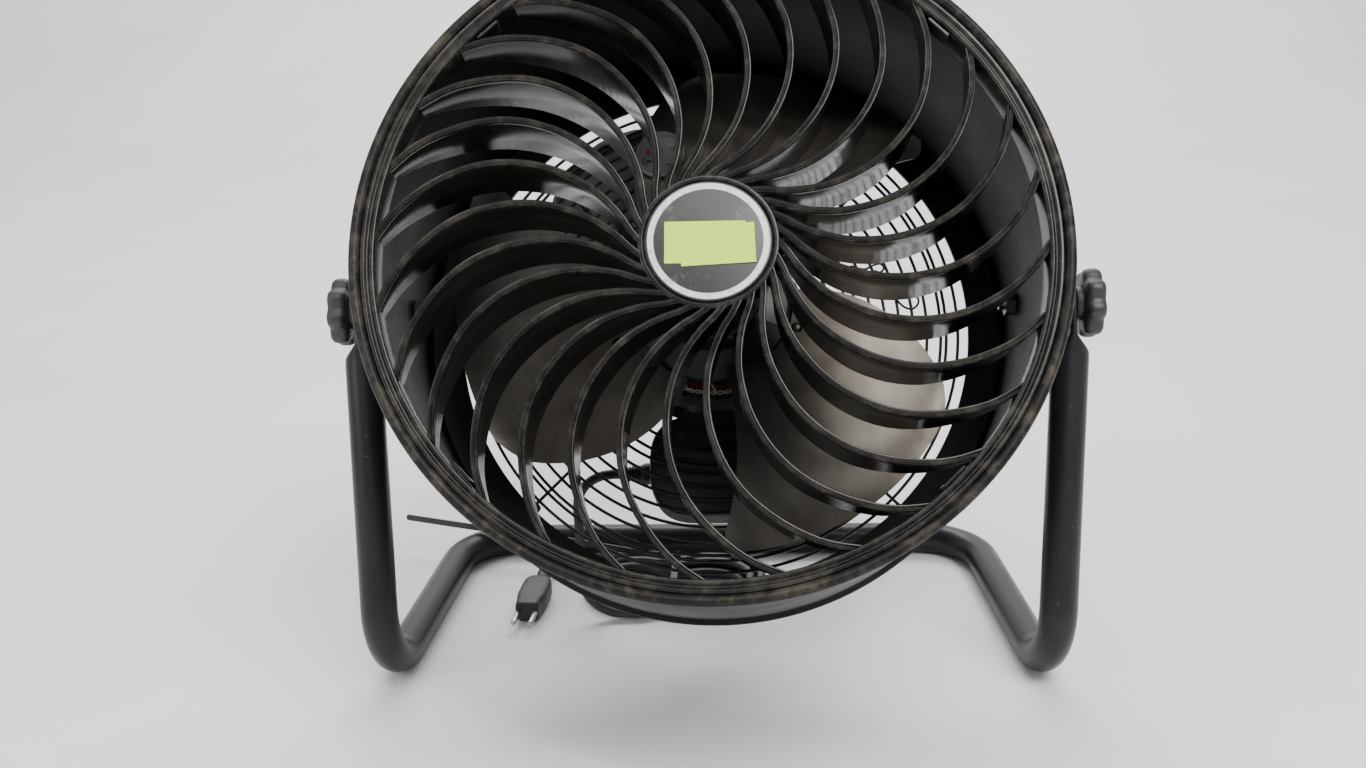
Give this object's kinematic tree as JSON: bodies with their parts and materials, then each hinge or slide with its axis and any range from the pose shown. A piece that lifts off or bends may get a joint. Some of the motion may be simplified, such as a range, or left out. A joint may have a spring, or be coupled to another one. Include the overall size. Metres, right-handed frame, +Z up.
{
  "type": "tilting drum air circulator fan",
  "caption": "Floor air circulator: black steel drum with a spiral vane grille and metal blades, tilting between star knobs on a bent tube stand, its power cord coiled and tied behind",
  "frame": {"origin": "on the floor under the middle of the fan, cord left out", "axes": "+Z up, the grille faces -Y, +X to the right as seen from the front"},
  "size_m": [0.5361, 0.3941, 0.5075],
  "materials": {
    "drum_paint": "glossy black coating on sheet steel, scuffed and dusty at the rims",
    "grille_plastic": "glossy black moulded plastic with dust in the corners",
    "black_plastic": "matte black moulded plastic",
    "knob_plastic": "dark grey textured plastic",
    "stand_paint": "matte black powder coat on steel tube",
    "wire_paint": "black coating on steel wire and plate",
    "blade_metal": "satin grey sheet metal with dust",
    "motor_paint": "satin black motor enamel",
    "winding_copper": "varnished copper wire with pale lacing",
    "steel": "plain zinc plated steel",
    "badge_print": "dark label disc with a pale printed ring, blank",
    "switch_plastic": "pale grey plastic",
    "cord_jacket": "black flexible cord jacket"
  },
  "bodies": {
    "stand": {"stand_tube": "stand_paint", "cord_landing": "cord_jacket", "cord_hank": "cord_jacket", "cord_tail": "cord_jacket", "cord_tie": "cord_jacket", "plug_body": "cord_jacket", "plug_pin_1": "steel", "plug_pin_2": "steel"},
    "head": {"drum_shell": "drum_paint", "front_grille": "grille_plastic", "hub_badge": "badge_print", "grille_clip_1": "grille_plastic", "grille_clip_2": "grille_plastic", "grille_clip_3": "grille_plastic", "grille_clip_4": "grille_plastic", "rear_guard": "wire_paint", "guard_bracket": "wire_paint", "motor_front_bell": "motor_paint", "bearing_front": "steel", "stator_stack": "motor_paint", "stator_winding": "winding_copper", "rear_winding": "winding_copper", "motor_rear_bell": "motor_paint", "bearing_rear": "steel", "motor_spider": "wire_paint", "spider_screw_1": "steel", "spider_screw_2": "steel", "spider_screw_3": "steel", "spider_screw_4": "steel", "terminal_box": "black_plastic", "box_cover": "black_plastic", "run_capacitor": "black_plastic", "cord_gland": "cord_jacket", "switch_housing": "black_plastic", "speed_switch": "switch_plastic", "cord_drop": "cord_jacket", "pivot_boss_left": "black_plastic", "pivot_boss_right": "black_plastic", "pivot_washer_left": "black_plastic", "pivot_washer_right": "black_plastic", "pivot_nut_left": "steel", "pivot_nut_right": "steel"},
    "impeller": {"fan_hub": "blade_metal", "blade_1": "blade_metal", "blade_2": "blade_metal", "blade_3": "blade_metal", "blade_disc": "switch_plastic", "motor_shaft": "steel", "shaft_collar": "steel", "motor_rotor": "steel"},
    "knob_left": {"star_knob_left": "knob_plastic", "pivot_bolt_left": "steel"},
    "knob_right": {"star_knob_right": "knob_plastic", "pivot_bolt_right": "steel"},
    "dial": {"speed_dial": "black_plastic"}
  },
  "joints": [
    {"name": "head_tilt", "type": "hinge", "parent": "stand", "child": "head", "pos_m": [0, 0.0304, 0.2552], "axis": [-1, 0, 0], "range_deg": [-41.5, 58.5]},
    {"name": "impeller_spin", "type": "hinge", "parent": "head", "child": "impeller", "pos_m": [0, 0.0304, 0.2552], "axis": [0, -0.8522, 0.5232], "continuous": true},
    {"name": "knob_left_turn", "type": "hinge", "parent": "head", "child": "knob_left", "pos_m": [-0.2488, 0.0304, 0.2552], "axis": [-1, 0, 0], "range_deg": [0, 1080]},
    {"name": "knob_right_turn", "type": "hinge", "parent": "head", "child": "knob_right", "pos_m": [0.2488, 0.0304, 0.2552], "axis": [1, 0, 0], "range_deg": [0, 1080]},
    {"name": "speed_select", "type": "hinge", "parent": "head", "child": "dial", "pos_m": [-0.036, 0.17912, 0.3216], "axis": [0, -0.8522, 0.5232], "range_deg": [0, 90]}
  ]
}
